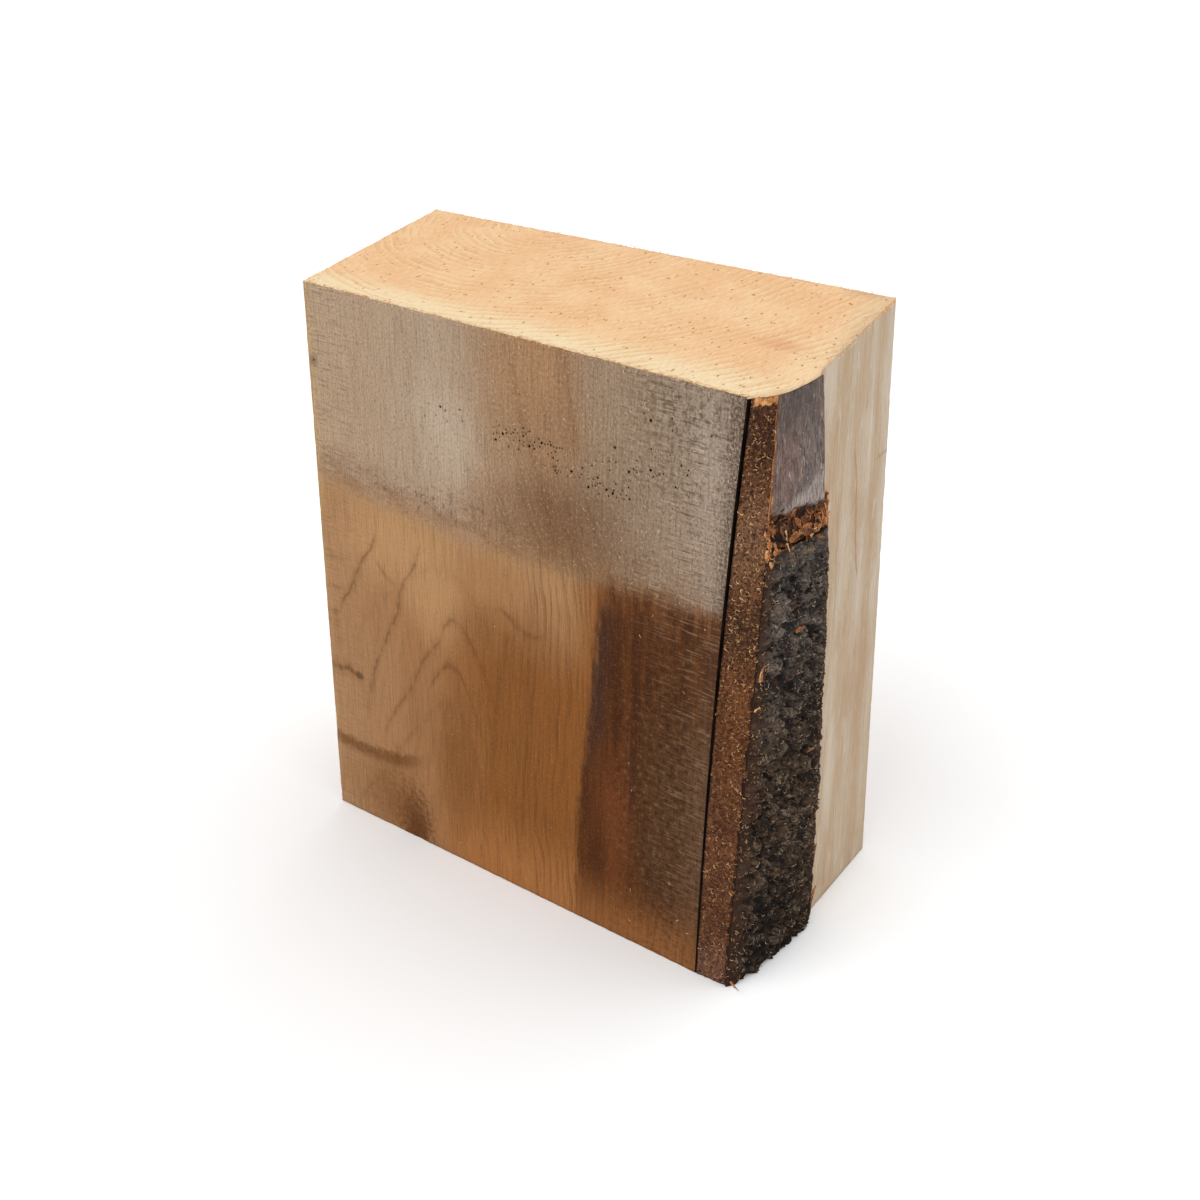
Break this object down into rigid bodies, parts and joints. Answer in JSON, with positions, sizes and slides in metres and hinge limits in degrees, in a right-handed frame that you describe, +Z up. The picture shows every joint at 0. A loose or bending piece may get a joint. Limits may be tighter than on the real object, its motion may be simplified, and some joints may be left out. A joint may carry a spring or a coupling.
{
  "type": "cherry wood block",
  "caption": "Thick sawn block of cherry wood standing on end, with fresh end grain on top and its rough bark kept on one upright corner.",
  "frame": {"origin": "centre of the footprint's bounding box, on the surface that the block stands on", "axes": "+X to the right along the front face, towards the bark corner; +Y from the front face to the back; +Z up, along the grain"},
  "size_m": [0.2702, 0.127, 0.3044],
  "materials": {
    "cherry_wood": "bandsawn and weathered faces in orange brown heartwood and grey sapwood, fresh cream end grain on top",
    "inner_bark": "sawn brown inner bark, with a smooth purple grey skin above the torn edge",
    "outer_bark": "rough black and grey scaly bark"
  },
  "bodies": {
    "root": {"wood_block": "cherry_wood", "inner_bark": "inner_bark", "outer_bark": "outer_bark"}
  },
  "joints": []
}
